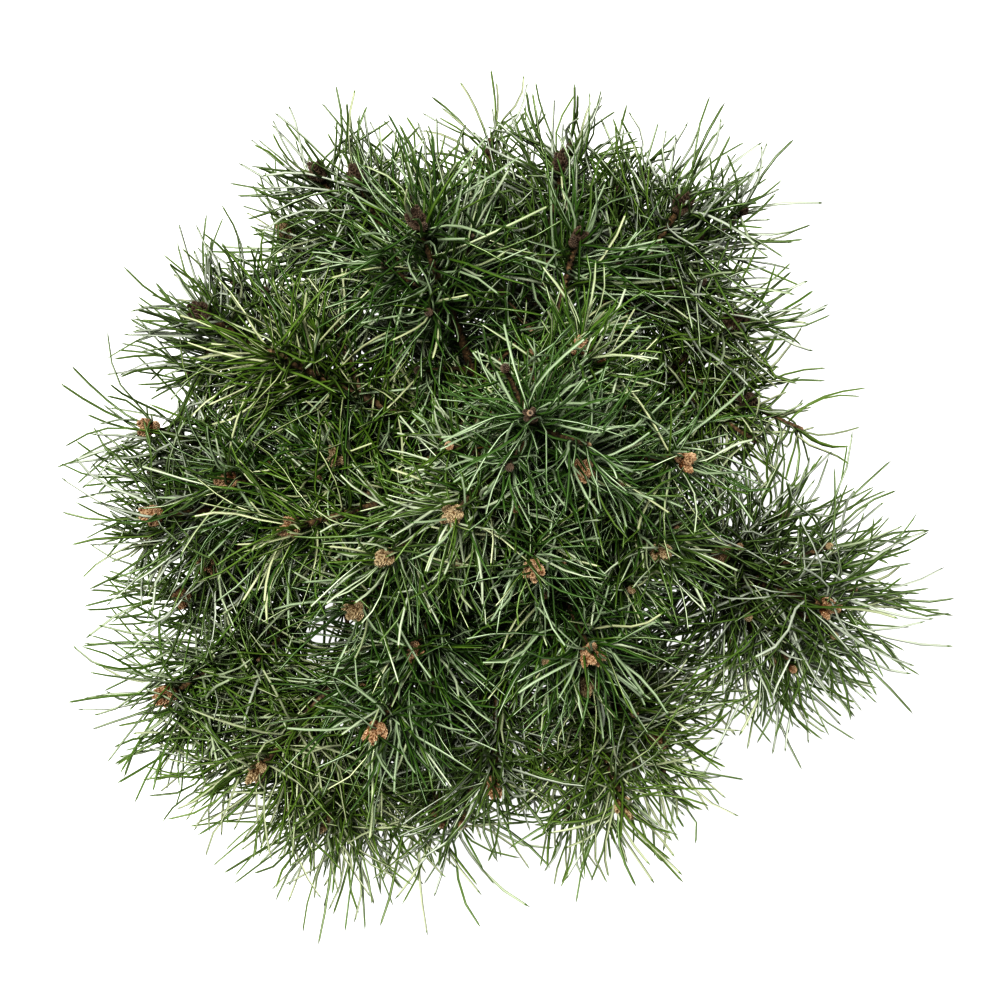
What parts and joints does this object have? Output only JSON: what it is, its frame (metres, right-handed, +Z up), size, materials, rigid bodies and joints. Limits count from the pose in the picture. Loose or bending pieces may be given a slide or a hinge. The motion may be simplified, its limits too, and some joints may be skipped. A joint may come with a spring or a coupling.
{
  "type": "potted scots pine",
  "caption": "Young Scots pine in a plain round grower's pot: leaning trunk, upturned boughs in loose tiers, long stiff needles in pairs and brown bud clusters.",
  "frame": {"origin": "centre of the flat underside of the pot", "axes": "+Z up along the trunk, +Y towards the back of the crown, +X to its right; the longest low bough points to +X and a little to the front"},
  "size_m": [0.556, 0.5646, 0.7977],
  "materials": {
    "pot": "fine moulded grain, satin matt",
    "compost": "damp and crumbly",
    "bark": "rough, grey-brown and flaky",
    "foliage": "waxy, satin"
  },
  "bodies": {
    "root": {"pot": "pot", "compost": "compost", "trunk": "bark", "bough_right_low": "bark", "foliage_right_low": "foliage", "bough_back_low": "bark", "foliage_back_low": "foliage", "bough_left_front_low": "bark", "foliage_left_front_low": "foliage", "bough_back_left_low": "bark", "foliage_back_left_low": "foliage", "bough_right_back_low": "bark", "foliage_right_back_low": "foliage", "bough_front_left_low": "bark", "foliage_front_left_low": "foliage", "bough_front_right_low": "bark", "foliage_front_right_low": "foliage", "bough_back_right": "bark", "foliage_back_right": "foliage", "bough_left_back": "bark", "foliage_left_back": "foliage", "bough_front_left": "bark", "foliage_front_left": "foliage", "bough_front_right": "bark", "foliage_front_right": "foliage", "bough_back_left": "bark", "foliage_back_left": "foliage", "bough_left": "bark", "foliage_left": "foliage", "bough_front": "bark", "foliage_front": "foliage", "bough_back": "bark", "foliage_back": "foliage", "bough_back_left_high": "bark", "foliage_back_left_high": "foliage", "bough_left_high": "bark", "foliage_left_high": "foliage", "bough_front_left_high": "bark", "foliage_front_left_high": "foliage", "foliage_right_high": "foliage", "bough_left_back_high": "bark", "foliage_left_back_high": "foliage", "foliage_front_right_high": "foliage", "foliage_back_high": "foliage", "foliage_left_middle": "foliage", "foliage_left_front_high": "foliage", "foliage_crown_left": "foliage", "foliage_crown_right": "foliage", "foliage_crown_back": "foliage", "foliage_crown_front": "foliage", "foliage_crown_right_top": "foliage", "foliage_crown_left_top": "foliage", "foliage_leader": "foliage"}
  },
  "joints": []
}
